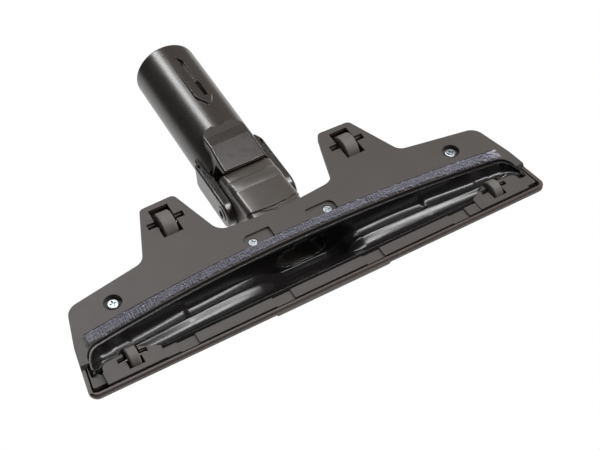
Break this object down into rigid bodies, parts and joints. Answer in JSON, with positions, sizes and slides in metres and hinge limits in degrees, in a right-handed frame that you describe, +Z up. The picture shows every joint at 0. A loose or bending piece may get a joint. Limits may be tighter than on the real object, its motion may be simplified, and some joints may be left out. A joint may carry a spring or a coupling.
{
  "type": "vacuum floor brush head",
  "caption": "Wide, low floor nozzle with a long suction channel, a lint strip behind it, small wheels in its corners and ears, and a hinged round neck for a wand.",
  "frame": {"origin": "centre of the bounding box on the floor that the wheels stand on, with the neck laid back", "axes": "+X along the head's long side, +Y from the front lip towards the neck, +Z up from the floor"},
  "size_m": [0.2802, 0.2206, 0.0443],
  "materials": {
    "body_plastic": "satin dark grey moulding",
    "sole_plastic": "matte warm dark grey",
    "channel_plastic": "glossy near black",
    "duct_plastic": "satin dark grey",
    "neck_plastic": "satin dark grey",
    "carrier_plastic": "plain backing",
    "pile_fabric": "short bluish grey pile",
    "zinc_steel": "bright zinc plate",
    "axle_steel": "drawn steel",
    "wheel_plastic": "matte grey"
  },
  "bodies": {
    "head": {"top_cover": "body_plastic", "sole_plate": "sole_plastic", "channel_insert": "channel_plastic", "outlet_duct": "duct_plastic", "strip_carrier": "carrier_plastic", "lint_strip": "pile_fabric", "outer_screws": "zinc_steel", "inner_screws": "zinc_steel", "pivot_pin_right": "axle_steel", "rear_axle_right": "axle_steel", "front_axle_right": "axle_steel", "pivot_pin_left": "axle_steel", "rear_axle_left": "axle_steel", "front_axle_left": "axle_steel"},
    "neck": {"neck_tube": "neck_plastic"},
    "rear_wheel_right": {"rear_wheel_right": "wheel_plastic"},
    "front_wheel_right": {"front_wheel_right": "wheel_plastic"},
    "rear_wheel_left": {"rear_wheel_left": "wheel_plastic"},
    "front_wheel_left": {"front_wheel_left": "wheel_plastic"}
  },
  "joints": [
    {"name": "neck_pitch", "type": "hinge", "parent": "head", "child": "neck", "pos_m": [0, -0.01849, 0.0243], "axis": [1, 0, 0], "range_deg": [0, 78]},
    {"name": "rear_wheel_right_spin", "type": "hinge", "parent": "head", "child": "rear_wheel_right", "pos_m": [0.0592, -0.02319, 0.0093], "axis": [1, 0, 0], "continuous": true},
    {"name": "front_wheel_right_spin", "type": "hinge", "parent": "head", "child": "front_wheel_right", "pos_m": [0.1122, -0.09719, 0.0065], "axis": [1, 0, 0], "continuous": true},
    {"name": "rear_wheel_left_spin", "type": "hinge", "parent": "head", "child": "rear_wheel_left", "pos_m": [-0.0592, -0.02319, 0.0093], "axis": [1, 0, 0], "continuous": true},
    {"name": "front_wheel_left_spin", "type": "hinge", "parent": "head", "child": "front_wheel_left", "pos_m": [-0.1122, -0.09719, 0.0065], "axis": [1, 0, 0], "continuous": true}
  ]
}
